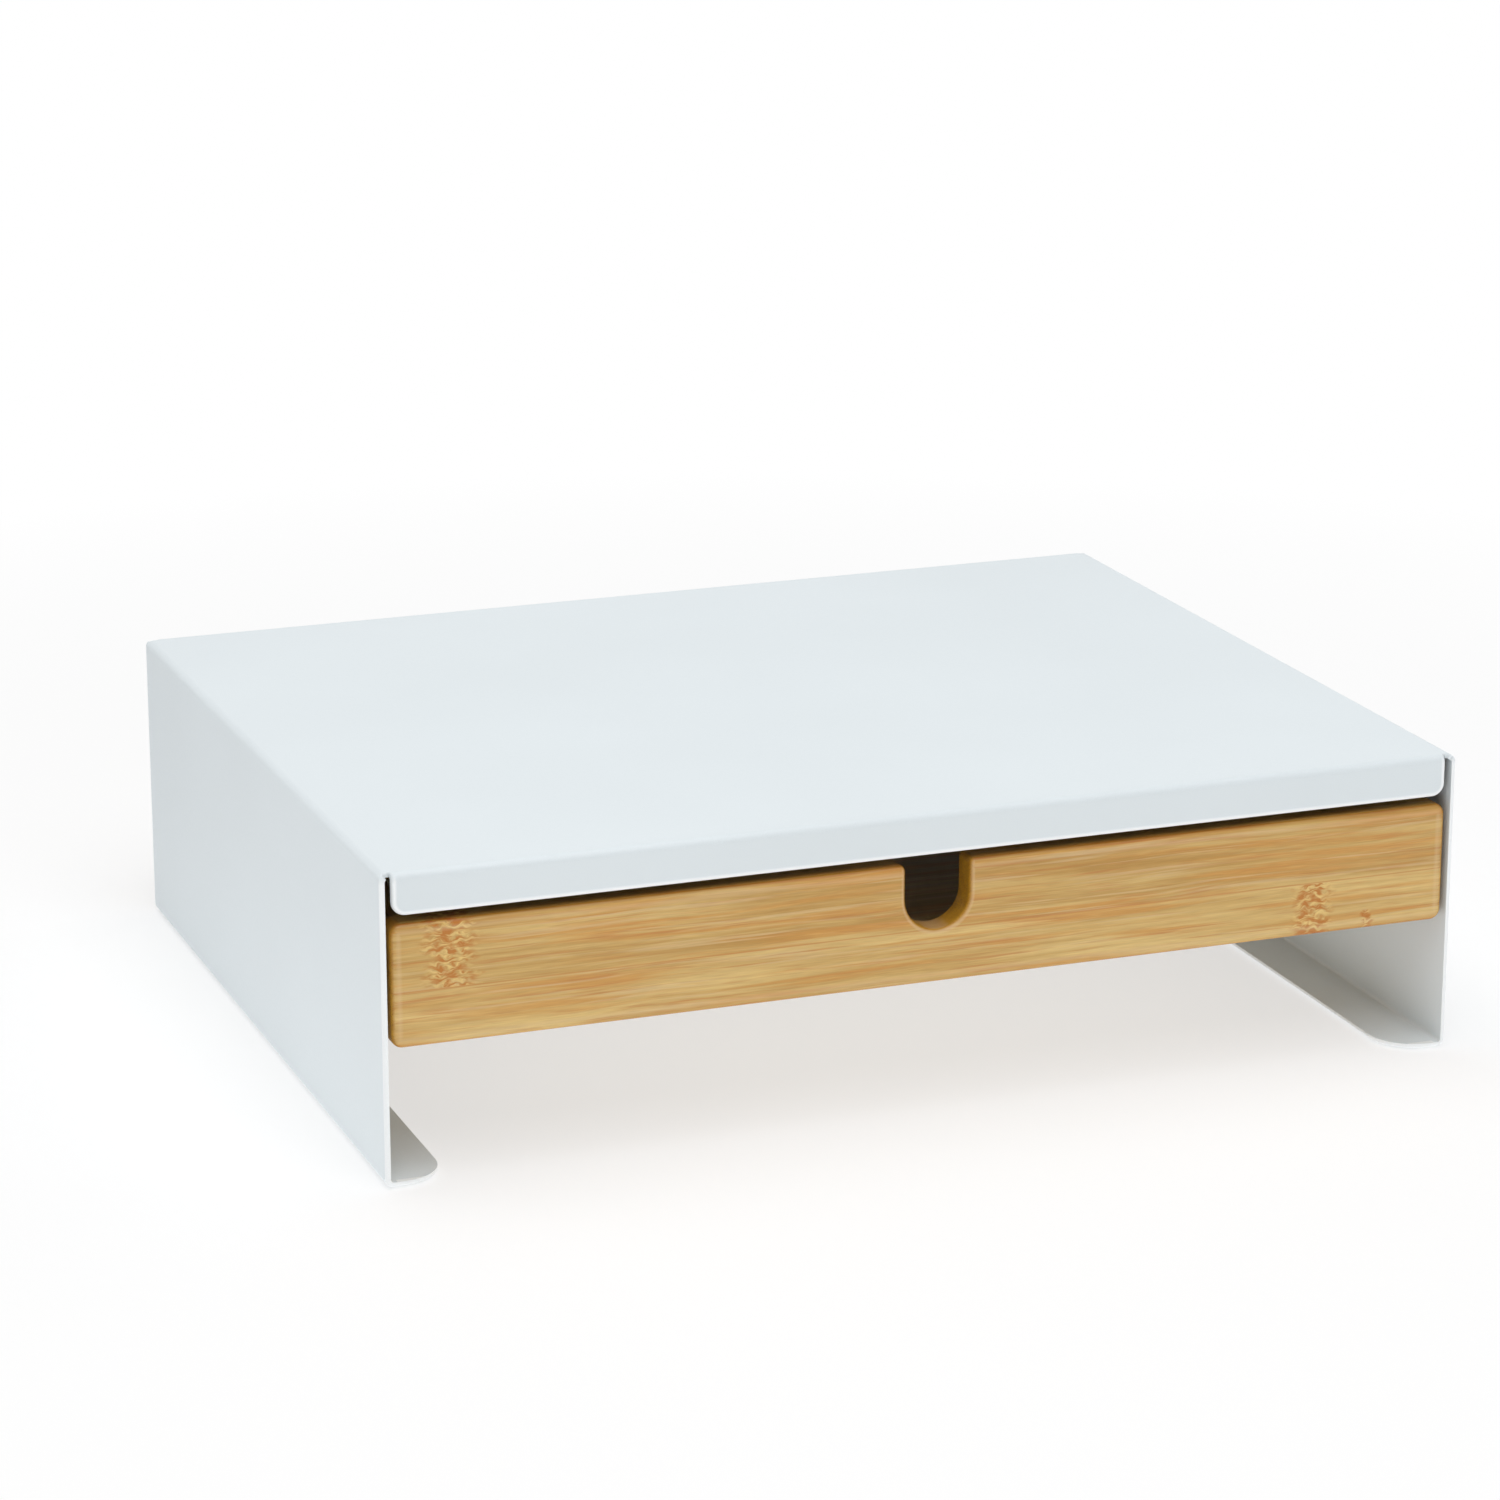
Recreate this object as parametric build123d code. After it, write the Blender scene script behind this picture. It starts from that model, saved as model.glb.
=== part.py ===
"""Monitor stand with a drawer: one bent steel sheet over a bamboo drawer on two steel runners.

Lengths are in millimetres. X runs across the width, Y from the front (-Y) to the back (+Y), Z up.
The origin is the middle of the footprint, on the desk.
"""
import os

from build123d import *

# Stand: one sheet bent into a top, two side panels, two foot flanges and two lips
stand_width = 450.0
stand_depth = 360.0
stand_height = 125.0
sheet = 2.0
bend_inner_radius = 1.2
sheet_edge_break = 0.6
foot_width = 25.0
foot_corner_radius = 18.0
lip_height = 17.0
lip_corner_radius = 5.5
lip_slot = 2.6
lip_slot_reach = 2.6

# Non-slip pads under the foot flanges
pad_diameter = 16.0
pad_thickness = 0.8
pad_end_distance = 32.0

# Drawer front: a board with a finger notch
front_height = 49.0
front_thickness = 12.0
front_top_gap = 3.4
front_side_gap = 1.8
front_setback = 0.5
front_corner_radius = 4.5
board_edge_round = 2.2
board_back_break = 0.5
notch_width = 27.0
notch_depth = 27.4
notch_shoulder_radius = 2.5

# Drawer box behind the front
box_length = 313.0
side_height = 40.0
side_thickness = 12.0
side_rise = 3.0
back_thickness = 12.0
box_edge_round = 1.0
bottom_thickness = 4.0
bottom_rise = 5.0
bottom_groove_depth = 5.0
bottom_groove_play = 0.1
bottom_end_play = 0.3

# Runners: steel angles on the side panels, each with a leg in a groove of the drawer side
runner_sheet = 1.5
runner_bend_radius = 1.0
runner_wall_height = 18.0
runner_level = 24.0
runner_room = 9.5
runner_front_distance = 12.5
runner_rear_distance = 5.0
leg_reach = 3.5
groove_depth = 7.0
groove_play = 1.2
groove_end_play = 2.0
ear_length = 8.0
ear_play = 0.6
tab_side_play = 0.8
tab_leg_gap = 4.0

# Closing bumpers on the runners' tabs
bumper_diameter = 5.6
bumper_thickness = 2.0

# Opening stop: a screw in each groove that meets the runner's ear
drawer_travel = 220.0
stop_screw_diameter = 2.4
stop_head_diameter = 4.8
stop_leg_play = 0.6
stop_end_play = 0.3

# Glued dowels in the corners of the drawer
dowel_diameter = 6.0
dowel_levels = (14.5, 33.0)
dowel_in_board = 8.0
dowel_in_length = 20.0
dowel_end_play = 0.8
hole_play = 0.05

# Screws that hold the bottom to the back
bottom_screw_count = 2
bottom_screw_spacing = 240.0
bottom_screw_diameter = 2.8
bottom_head_diameter = 5.6
bottom_screw_length = 14.0

# Heights and faces of the stand
bend_outer_radius = bend_inner_radius + sheet
panel_x = stand_width / 2 - sheet
panel_y = stand_depth / 2
foot_top_z = pad_thickness + sheet
lip_bottom_z = stand_height - lip_height
lip_half_width = panel_x - lip_slot
foot_edge_x = stand_width / 2 - foot_width

# Faces of the drawer front
front_half_width = panel_x - front_side_gap
front_top_z = lip_bottom_z - front_top_gap
front_bottom_z = front_top_z - front_height
front_face_y = -panel_y + front_setback
front_back_y = front_face_y + front_thickness

# Faces of the drawer box
side_outer_x = panel_x - runner_room
side_inner_x = side_outer_x - side_thickness
side_mid_x = (side_outer_x + side_inner_x) / 2
side_bottom_z = front_bottom_z + side_rise
side_top_z = side_bottom_z + side_height
box_rear_y = front_back_y + box_length
back_face_y = box_rear_y - back_thickness
back_mid_y = box_rear_y - back_thickness / 2
bottom_z = side_bottom_z + bottom_rise
bottom_top_z = bottom_z + bottom_thickness
bottom_half_width = side_inner_x + bottom_groove_depth - bottom_end_play
bottom_front_y = front_back_y - bottom_groove_depth + bottom_end_play

# Faces of the runner and of its groove
leg_top_z = side_bottom_z + runner_level
leg_bottom_z = leg_top_z - runner_sheet
leg_tip_x = side_outer_x - leg_reach
leg_front_y = front_back_y + runner_front_distance
leg_rear_y = box_rear_y - runner_rear_distance
groove_bottom_x = side_outer_x - groove_depth
groove_bottom_z = leg_bottom_z - groove_play
groove_mid_z = (groove_bottom_z + leg_top_z) / 2
groove_front_y = leg_front_y - groove_end_play
ear_tip_x = groove_bottom_x + ear_play
tab_face_y = front_back_y + bumper_thickness
tab_tip_x = side_outer_x + tab_side_play
tab_bottom_z = leg_top_z + tab_leg_gap
wall_top_z = leg_top_z + runner_wall_height
stop_screw_y = leg_front_y + ear_length + drawer_travel + stop_end_play + stop_screw_diameter / 2
stop_tip_x = leg_tip_x - stop_leg_play


def block(x0, x1, y0, y1, z0, z1):
    """Box between two corners."""
    size = Box(x1 - x0, y1 - y0, z1 - z0)
    return Pos((x0 + x1) / 2, (y0 + y1) / 2, (z0 + z1) / 2) * size


def rod(start, direction, length, radius):
    """Round bar from a point along a direction."""
    plane = Plane(origin=start, z_dir=direction)
    return extrude(plane * Circle(radius), length)


def left_copy(right):
    """The same piece on the left side."""
    return mirror(right, about=Plane.YZ)


def edges_along(solid, axis, **near):
    """Edges parallel to an axis whose middle lies at the given coordinates, such as X=10 or Z=4."""
    chosen = solid.edges().filter_by(axis)
    for name, value in near.items():
        chosen = [e for e in chosen if abs(getattr(e.center(), name) - value) < 1e-3]
    return chosen


def bent_box(half_width, half_depth, bottom, top, radius):
    """Box with rounded top edges and rounded lower side edges, as the bends leave it."""
    solid = block(-half_width, half_width, -half_depth, half_depth, bottom, top)
    rounded = edges_along(solid, Axis.X, Z=top)
    rounded += edges_along(solid, Axis.Y, Z=top)
    rounded += edges_along(solid, Axis.Y, Z=bottom)
    return fillet(rounded, radius)


def front_opening():
    """Outline in the XZ plane of what is open round the lip, up to the height where the bends start."""
    height = stand_height - bend_outer_radius - foot_top_z
    opening = Pos(0, foot_top_z + height / 2) * Rectangle(2 * panel_x, height)
    opening = fillet(opening.vertices().group_by(Axis.Y)[0], bend_inner_radius)
    lip = Pos(0, lip_bottom_z + lip_height) * Rectangle(2 * lip_half_width, 2 * lip_height)
    lip = fillet(lip.vertices().group_by(Axis.Y)[0], lip_corner_radius)
    return opening - lip


def bend_slots():
    """The slots at the ends of both lips where they run on into the bend, each to a round end."""
    slot_radius = lip_slot / 2
    slot_x = panel_x - slot_radius
    end_y = panel_y - lip_slot_reach + slot_radius
    plan = Rectangle(lip_slot, stand_depth + lip_slot) - Rectangle(lip_slot, 2 * end_y)
    for end in (-1, 1):
        plan += Pos(0, end * end_y) * Circle(slot_radius)
    slots = Pos(0, 0, stand_height - bend_outer_radius) * extrude(plan, 2 * bend_outer_radius)
    return Pos(-slot_x, 0, 0) * slots + Pos(slot_x, 0, 0) * slots


def foot_gap():
    """What is cut between the foot flanges, up to the height of their bends, with their round corners."""
    plan = Rectangle(stand_width, stand_depth)
    for side in (-1, 1):
        foot = Pos(side * stand_width / 2, 0) * Rectangle(2 * foot_width, stand_depth)
        corners = foot.vertices().group_by(Axis.X)[0 if side > 0 else -1]
        plan -= fillet(corners, foot_corner_radius)
    return extrude(plan, foot_top_z + bend_inner_radius)


def stand_shell():
    """The bent sheet. Its rims are broken, each following on through the bends, before the slots are run on."""
    outer = bent_box(stand_width / 2, panel_y, pad_thickness, stand_height, bend_outer_radius)
    outer &= extrude(RectangleRounded(stand_width, stand_depth, sheet_edge_break), stand_height)
    hollow = bent_box(panel_x, panel_y - sheet, foot_top_z, stand_height - sheet, bend_inner_radius)
    shell = outer - hollow
    mouth = extrude(Plane.XZ * front_opening(), bend_outer_radius)
    shell -= Pos(0, -panel_y + bend_outer_radius, 0) * mouth
    shell -= Pos(0, panel_y, 0) * mouth
    shell -= foot_gap()
    rims = []
    for y in (-panel_y, panel_y):
        rims += edges_along(shell, Axis.X, Y=y, Z=lip_bottom_z)
        for x in (-panel_x, panel_x):
            rims += edges_along(shell, Axis.Z, X=x, Y=y)
    return chamfer(rims, sheet_edge_break) - bend_slots()


def stand_pads():
    """One pad near each end of each foot flange, named by its place."""
    pads = {}
    pad_x = stand_width / 2 - foot_width / 2
    pad_y = panel_y - pad_end_distance
    for side_name, side in (("left", -1), ("right", 1)):
        for end_name, end in (("front", -1), ("rear", 1)):
            centre = (side * pad_x, end * pad_y, 0)
            pads[f"pad_{end_name}_{side_name}"] = rod(centre, (0, 0, 1), pad_thickness, pad_diameter / 2)
    return pads


def drawer_front():
    """Board with rounded corners, a U-shaped notch, a groove for the bottom and dowel holes."""
    board = Rectangle(2 * front_half_width, front_height)
    board = fillet(board.vertices(), front_corner_radius)
    notch_radius = notch_width / 2
    notch_mid_z = front_height / 2 - notch_depth + notch_radius
    board -= Pos(0, notch_mid_z) * Circle(notch_radius)
    board -= Pos(0, notch_mid_z + notch_depth / 2) * Rectangle(notch_width, notch_depth)
    shoulders = [v for v in board.vertices() if abs(abs(v.X) - notch_radius) < 1e-4 and v.Y > notch_mid_z + 1]
    board = fillet(shoulders, notch_shoulder_radius)
    front = extrude(Plane.XZ * board, front_thickness)
    front = Pos(0, front_back_y, (front_top_z + front_bottom_z) / 2) * front
    front = fillet(front.faces().sort_by(Axis.Y)[0].edges(), board_edge_round)
    front = chamfer(front.faces().sort_by(Axis.Y)[-1].edges(), board_back_break)
    front -= bottom_groove()
    for side in (-1, 1):
        for level in dowel_levels:
            start = (side * side_mid_x, front_back_y, side_bottom_z + level)
            front -= rod(start, (0, -1, 0), dowel_in_board, dowel_diameter / 2 + hole_play)
    return front


def bottom_groove():
    """The space of the bottom panel with its play, cut from the front and the sides."""
    half_width = side_inner_x + bottom_groove_depth
    front_y = front_back_y - bottom_groove_depth
    low = bottom_z - bottom_groove_play
    high = bottom_top_z + bottom_groove_play
    return block(-half_width, half_width, front_y, box_rear_y, low, high)


def drawer_side():
    """Right side board, with the runner's groove outside, the bottom's groove inside and holes."""
    side = block(side_inner_x, side_outer_x, front_back_y, box_rear_y, side_bottom_z, side_top_z)
    upper = edges_along(side, Axis.Y, Z=side_top_z)
    upper += edges_along(side, Axis.Z, Y=box_rear_y, X=side_outer_x)
    side = fillet(upper, box_edge_round)
    side -= block(groove_bottom_x, side_outer_x, groove_front_y, box_rear_y, groove_bottom_z, leg_top_z)
    side -= bottom_groove()
    hole_radius = dowel_diameter / 2 + hole_play
    for level in dowel_levels:
        z = side_bottom_z + level
        side -= rod((side_mid_x, front_back_y, z), (0, 1, 0), dowel_in_length, hole_radius)
        side -= rod((side_inner_x, back_mid_y, z), (1, 0, 0), dowel_in_board, hole_radius)
    return side - stop_screw(hole_play)


def drawer_back():
    """Back board between the sides, standing on the bottom panel."""
    back = block(-side_inner_x, side_inner_x, back_face_y, box_rear_y, bottom_top_z, side_top_z)
    back = fillet(edges_along(back, Axis.X, Z=side_top_z), box_edge_round)
    hole_radius = dowel_diameter / 2 + hole_play
    for side in (-1, 1):
        for level in dowel_levels:
            start = (side * side_inner_x, back_mid_y, side_bottom_z + level)
            back -= rod(start, (-side, 0, 0), dowel_in_length, hole_radius)
    for x in bottom_screw_places():
        back -= bottom_screw(x, hole_play)
    return back


def drawer_bottom():
    """Thin panel in the grooves, with countersunk holes for its screws."""
    panel = block(-bottom_half_width, bottom_half_width, bottom_front_y, box_rear_y, bottom_z, bottom_top_z)
    for x in bottom_screw_places():
        panel -= bottom_screw(x, hole_play)
    return panel


def countersunk_screw(diameter, head_diameter, length, play, start, direction):
    """Screw with a flush cone head at its start, drawn larger by the play for its hole."""
    radius = diameter / 2 + play
    head_radius = head_diameter / 2 + play
    outline = Polyline((0, 0), (head_radius, 0), (radius, head_radius - radius), (radius, length), (0, length),
                       close=True)
    screw = revolve(Plane.XZ * make_face(outline), Axis.Z)
    return Plane(origin=start, z_dir=direction) * screw


def bottom_screw_places():
    """Where the bottom screws stand along X, spaced about the middle."""
    first = -bottom_screw_spacing * (bottom_screw_count - 1) / 2
    return [first + i * bottom_screw_spacing for i in range(bottom_screw_count)]


def bottom_screw(x, play=0.0):
    """Screw up through the bottom panel into the back."""
    start = (x, back_mid_y, bottom_z)
    return countersunk_screw(bottom_screw_diameter, bottom_head_diameter, bottom_screw_length, play,
                             start, (0, 0, 1))


def bottom_screws():
    """The row of bottom screws."""
    return Compound([bottom_screw(x) for x in bottom_screw_places()])


def stop_screw(play=0.0):
    """Right stop screw, from inside the drawer into the runner's groove."""
    start = (side_inner_x, stop_screw_y, groove_mid_z)
    length = stop_tip_x - side_inner_x
    return countersunk_screw(stop_screw_diameter, stop_head_diameter, length, play, start, (1, 0, 0))


def dowel(start, direction, in_length):
    """Dowel across a joint, drawn back from both hole ends by the end play."""
    across = Vector(*direction)
    first = Vector(*start) - across * (dowel_in_board - dowel_end_play)
    length = dowel_in_board + in_length - 2 * dowel_end_play
    return rod(tuple(first), direction, length, dowel_diameter / 2)


def front_dowels():
    """The two dowels from the front into the right side."""
    places = [(side_mid_x, front_back_y, side_bottom_z + level) for level in dowel_levels]
    return Compound([dowel(place, (0, 1, 0), dowel_in_length) for place in places])


def rear_dowels():
    """The two dowels from the right side into the back."""
    places = [(side_inner_x, back_mid_y, side_bottom_z + level) for level in dowel_levels]
    return Compound([dowel(place, (-1, 0, 0), dowel_in_length) for place in places])


def angle(a, b, thickness, radius):
    """L-shaped outline along +X for a and along +Y for b, with the bend rounded inside and out."""
    outer = Pos(a / 2, b / 2) * Rectangle(a, b)
    outer = fillet(outer.vertices().sort_by_distance((0, 0, 0))[0], radius + thickness)
    inner = Pos(thickness + a / 2, thickness + b / 2) * Rectangle(a, b)
    inner = fillet(inner.vertices().sort_by_distance((0, 0, 0))[0], radius)
    return outer - inner


def runner():
    """Right runner: wall on the side panel, leg in the drawer's groove, ear and folded tab in front."""
    reach = panel_x - leg_tip_x
    section = angle(reach, wall_top_z - leg_bottom_z, runner_sheet, runner_bend_radius)
    along = Plane(origin=(panel_x, leg_front_y, leg_bottom_z), x_dir=(-1, 0, 0), z_dir=(0, 1, 0))
    rail = extrude(along * section, leg_rear_y - leg_front_y)
    ear = block(ear_tip_x, leg_tip_x + runner_sheet, leg_front_y, leg_front_y + ear_length, leg_bottom_z,
                leg_top_z)
    fold = angle(panel_x - tab_tip_x, leg_front_y - tab_face_y, runner_sheet, runner_bend_radius)
    upright = Plane(origin=(panel_x, tab_face_y, wall_top_z), x_dir=(-1, 0, 0), z_dir=(0, 0, -1))
    tab = extrude(upright * fold, wall_top_z - tab_bottom_z)
    return rail + ear + tab


def bumper():
    """Right bumper, on the front face of the runner's tab."""
    x = (tab_tip_x + front_half_width - board_back_break) / 2
    z = (tab_bottom_z + wall_top_z) / 2
    return rod((x, tab_face_y, z), (0, -1, 0), bumper_thickness, bumper_diameter / 2)


def pieces():
    """Every piece by its node name."""
    parts = {"stand_shell": stand_shell()}
    parts.update(stand_pads())
    parts["drawer_front"] = drawer_front()
    parts["drawer_back"] = drawer_back()
    parts["drawer_bottom"] = drawer_bottom()
    parts["bottom_screws"] = bottom_screws()
    pairs = {"runner": runner(), "bumper": bumper(), "drawer_side": drawer_side(), "stop_screw": stop_screw(),
             "dowels_front": front_dowels(), "dowels_rear": rear_dowels()}
    for name, right in pairs.items():
        parts[f"{name}_right"] = right
        parts[f"{name}_left"] = left_copy(right)
    return parts


os.makedirs("parts", exist_ok=True)
for name, shape in pieces().items():
    export_step(shape, f"parts/{name}.step")
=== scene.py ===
"""Looks of a monitor stand: one powder-coated steel sheet bent over a bamboo drawer.

Lengths are in metres. X runs across the width, Y from the front (-Y) to the back (+Y), Z up.
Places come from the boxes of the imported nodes. What only shows in the finish is named here.
"""
import math

import bpy
import numpy as np
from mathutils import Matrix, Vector


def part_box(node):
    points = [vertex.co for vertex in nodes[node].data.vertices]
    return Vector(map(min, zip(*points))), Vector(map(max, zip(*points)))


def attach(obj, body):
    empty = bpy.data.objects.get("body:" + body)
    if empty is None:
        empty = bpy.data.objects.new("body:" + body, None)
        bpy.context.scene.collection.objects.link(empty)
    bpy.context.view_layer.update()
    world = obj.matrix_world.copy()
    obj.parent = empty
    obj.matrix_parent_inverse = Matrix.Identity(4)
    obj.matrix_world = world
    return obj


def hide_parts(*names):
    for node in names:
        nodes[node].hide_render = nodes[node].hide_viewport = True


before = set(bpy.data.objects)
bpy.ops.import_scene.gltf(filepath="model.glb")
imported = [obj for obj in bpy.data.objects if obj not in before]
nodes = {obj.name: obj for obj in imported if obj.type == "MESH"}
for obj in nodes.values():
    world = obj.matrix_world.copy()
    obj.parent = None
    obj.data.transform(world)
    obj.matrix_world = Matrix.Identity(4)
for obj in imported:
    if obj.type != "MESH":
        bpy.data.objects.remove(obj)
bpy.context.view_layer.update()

# The bent sheet, as the blank is cut and folded
sheet = 0.0020
bend_radius = 0.0032
foot_width = 0.025
foot_corner = 0.018
lip_height = 0.017
lip_corner = 0.0055
slot_width = 0.0026

# Its rounded rim
rim_reach = 0.0012

# How finely the sheet is divided: steps of its arcs and bends, and rows along its depth and down a lip
rim_steps = 8
flat_steps = 5
corner_steps = 10
slot_steps = 16
panel_corner_steps = 8
bend_steps = 8
lip_bend_steps = 7
joint_steps = 8
half_row_count = joint_steps + 2
lip_row_count = lip_bend_steps + 2

# Distances on the blank, from its middle
shell_low, shell_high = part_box("stand_shell")
half_depth = shell_high.y
quarter_bend = bend_radius * math.pi / 2
top_half = shell_high.x - bend_radius
side_run = shell_high.z - shell_low.z - 2 * bend_radius
lip_half = shell_high.x - sheet - slot_width
seam = half_depth - bend_radius
lip_end = seam + quarter_bend + lip_height - bend_radius
slot_middle = half_depth - slot_width / 2
panel_corner = slot_width / 2
panel_corner_start = 0.12
lip_low_z = shell_high.z - lip_height
joint_run = 0.0049
on_lip, on_slot, on_side = range(3)

# Bamboo strips, pressed flat: their width and where the two seen on the front board meet
strip_width = 0.027
bottom_strip_width = 0.022
drawer_front_low, drawer_front_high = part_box("drawer_front")
front_seam_z = drawer_front_high.z - strip_width

# Finger notch of the front board, and how far inside the outline the painted highlight line runs
notch_radius = 0.0135
notch_middle_z = drawer_front_high.z - 0.0274 + notch_radius
highlight_line_inset = 0.0032

# Camera, worked out from the vanishing lines of the stand's edges
camera_place = (-0.6989, -1.8269, 0.6754)
camera_yaw = math.radians(20.648)
camera_pitch = math.radians(16.376)
camera_focal_pixels = 4846.6
photo_pixels = 1500
sensor_width = 36.0


def grid_cells(columns, rows):
    """Corner numbers of each cell of a grid whose points are numbered column by column."""
    i, j = np.meshgrid(np.arange(columns - 1), np.arange(rows - 1), indexing="ij")
    first = (i * rows + j).ravel()
    return np.column_stack((first, first + rows, first + rows + 1, first + 1))


def new_piece(name, points, faces, body, materials):
    """A mesh piece at the origin with its place in its points, riding on a body."""
    mesh = bpy.data.meshes.new(name)
    mesh.from_pydata(np.asarray(points, float).tolist(), [], [list(map(int, face)) for face in faces])
    mesh.polygons.foreach_set("use_smooth", np.full(len(mesh.polygons), True))
    mesh.validate()
    for material in materials:
        mesh.materials.append(material)
    piece = bpy.data.objects.new(name, mesh)
    bpy.context.scene.collection.objects.link(piece)
    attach(piece, body)
    return piece


def bent_path(distance, straights, radius, level):
    """Follows straight runs joined by quarter bends, by distance along the outer face.

    The path starts outwards and turns down and then back in. A point below level 0 lies that far inside the
    face. On a run it is shifted square to it, and on a bend its radius is that much smaller.
    """
    out = np.zeros_like(distance)
    up = np.zeros_like(distance)
    corner = np.zeros(2)
    heading = np.array((1.0, 0.0))
    face = np.array((0.0, 1.0))
    start = 0.0
    for number, run in enumerate(straights):
        here = distance >= start
        point = corner + heading * (distance - start)[..., None] + face * level
        out = np.where(here, point[..., 0], out)
        up = np.where(here, point[..., 1], up)
        corner = corner + heading * run
        start = start + run
        if number == len(straights) - 1:
            break
        here = distance >= start
        turn = np.clip((distance - start) / radius, 0.0, math.pi / 2)[..., None]
        centre = corner - face * radius
        point = centre + (radius + level) * (face * np.cos(turn) + heading * np.sin(turn))
        out = np.where(here, point[..., 0], out)
        up = np.where(here, point[..., 1], up)
        corner = centre + heading * radius
        heading, face = -face, heading
        start = start + radius * math.pi / 2
    return out, up


def shell_blank(inset):
    """One half of the flat blank, drawn in by an inset from its cut edge, in columns from the middle out.

    Returns each column's distance across, how far along it the slot's middle and the cut edge lie, and what
    the column carries. Corners are arcs about a fixed centre whose radius shrinks by the inset. The slot
    between lip and side ends in a half circle, whose radius grows by it. The side's own corner beside it is a
    small arc.
    """
    quarter_turn = np.linspace(0.0, math.pi / 2, corner_steps + 1)[1:]
    half_turn = np.linspace(0.0, math.pi, slot_steps + 1)[1:-1]
    corner_turn = np.linspace(panel_corner_start, math.pi / 2, panel_corner_steps + 1)
    side_start = top_half + quarter_bend
    foot_start = side_start + side_run + quarter_bend
    foot_end = foot_start + foot_width - bend_radius

    plain = np.linspace(0.0, lip_half - lip_corner, flat_steps + 1)
    lip_arc = lip_half - lip_corner + (lip_corner - inset) * np.sin(quarter_turn)
    slot_radius = slot_width / 2 + inset
    slot = lip_half + slot_width / 2 - slot_radius * np.cos(half_turn)
    corner = lip_half + slot_width + panel_corner - (panel_corner - inset) * np.cos(corner_turn)
    upper_bend = np.linspace(corner[-1], side_start, bend_steps + 1)[1:]
    side = side_start + side_run * np.array((0.5, 1.0))
    lower_bend = np.linspace(side[-1], foot_start, bend_steps + 1)[1:]
    foot_arc = foot_end - foot_corner + (foot_corner - inset) * np.append(0.0, np.sin(quarter_turn))
    across = np.concatenate((plain, lip_arc, slot, corner, upper_bend, side, lower_bend, foot_arc))

    lip_count = len(plain) + len(lip_arc)
    slot_count = lip_count + len(slot)
    corner_count = slot_count + len(corner)
    edge = np.full(len(across), half_depth - inset)
    edge[:len(plain)] = lip_end - inset
    edge[len(plain):lip_count] = lip_end - lip_corner + (lip_corner - inset) * np.cos(quarter_turn)
    foot_cosine = np.append(1.0, np.cos(quarter_turn))
    edge[-len(foot_arc):] = half_depth - foot_corner + (foot_corner - inset) * foot_cosine
    joint = edge - (half_depth - inset - slot_middle)
    joint[:lip_count] = slot_middle
    joint[lip_count:slot_count] = slot_middle - slot_radius * np.sin(half_turn)
    joint[slot_count:corner_count] = slot_middle
    edge[slot_count:corner_count] = slot_middle + (panel_corner - inset) * np.sin(corner_turn)
    carries = np.full(len(across), on_side)
    carries[:lip_count] = on_lip
    carries[lip_count:slot_count] = on_slot
    return across, joint, edge, carries


def shell_points(inset, level):
    """Points of the blank bent up: a grid over the top, sides and feet, then one for each lip.

    The falls of the side bend and of the lip bend are added. The lip bend fades out across the slot.
    """
    across, joint, edge, carries = shell_blank(inset)
    before_joint = (1.0 - np.linspace(0.0, 1.0, joint_steps + 1)) * joint_run
    rows = np.column_stack((np.zeros(len(joint)), joint[:, None] - before_joint, edge))
    half = rows[:, 1:]
    along = np.concatenate((-half[:, ::-1], rows), axis=1)
    along = np.concatenate((along[:0:-1], along))
    across = np.concatenate((-across[:0:-1], across))
    wide = np.broadcast_to(across[:, None], along.shape)

    lip_count = np.count_nonzero(carries == on_lip)
    bend_rows = np.linspace(slot_middle, seam + quarter_bend, lip_bend_steps + 1)[1:]
    tail = edge[:lip_count, None] - bend_rows[-1]
    lip_rows = np.concatenate((np.broadcast_to(bend_rows, (lip_count, len(bend_rows))),
                               bend_rows[-1] + tail * np.array((0.5, 1.0))), axis=1)
    lip_rows = np.concatenate((lip_rows[:0:-1], lip_rows))
    first = len(carries) - lip_count
    lip_wide = np.broadcast_to(across[first:first + len(lip_rows), None], lip_rows.shape)

    wide = np.concatenate((wide.ravel(), lip_wide.ravel(), lip_wide.ravel()))
    long = np.concatenate((along.ravel(), -lip_rows.ravel(), lip_rows.ravel()))
    runs = (top_half, side_run, foot_width - bend_radius)
    out_x, fall_x = bent_path(np.abs(wide), runs, bend_radius, level)
    out_y, fall_y = bent_path(np.abs(long), (seam, lip_height - bend_radius), bend_radius, level)
    fade = np.clip((np.abs(wide) - lip_half) / slot_width, 0.0, 1.0)
    bent = 1.0 - fade * fade * (3.0 - 2.0 * fade)
    y = np.sign(long) * (np.abs(long) + bent * (out_y - np.abs(long)))
    return np.column_stack((np.sign(wide) * out_x, y, shell_high.z + fall_x + bent * (fall_y - level)))


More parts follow.
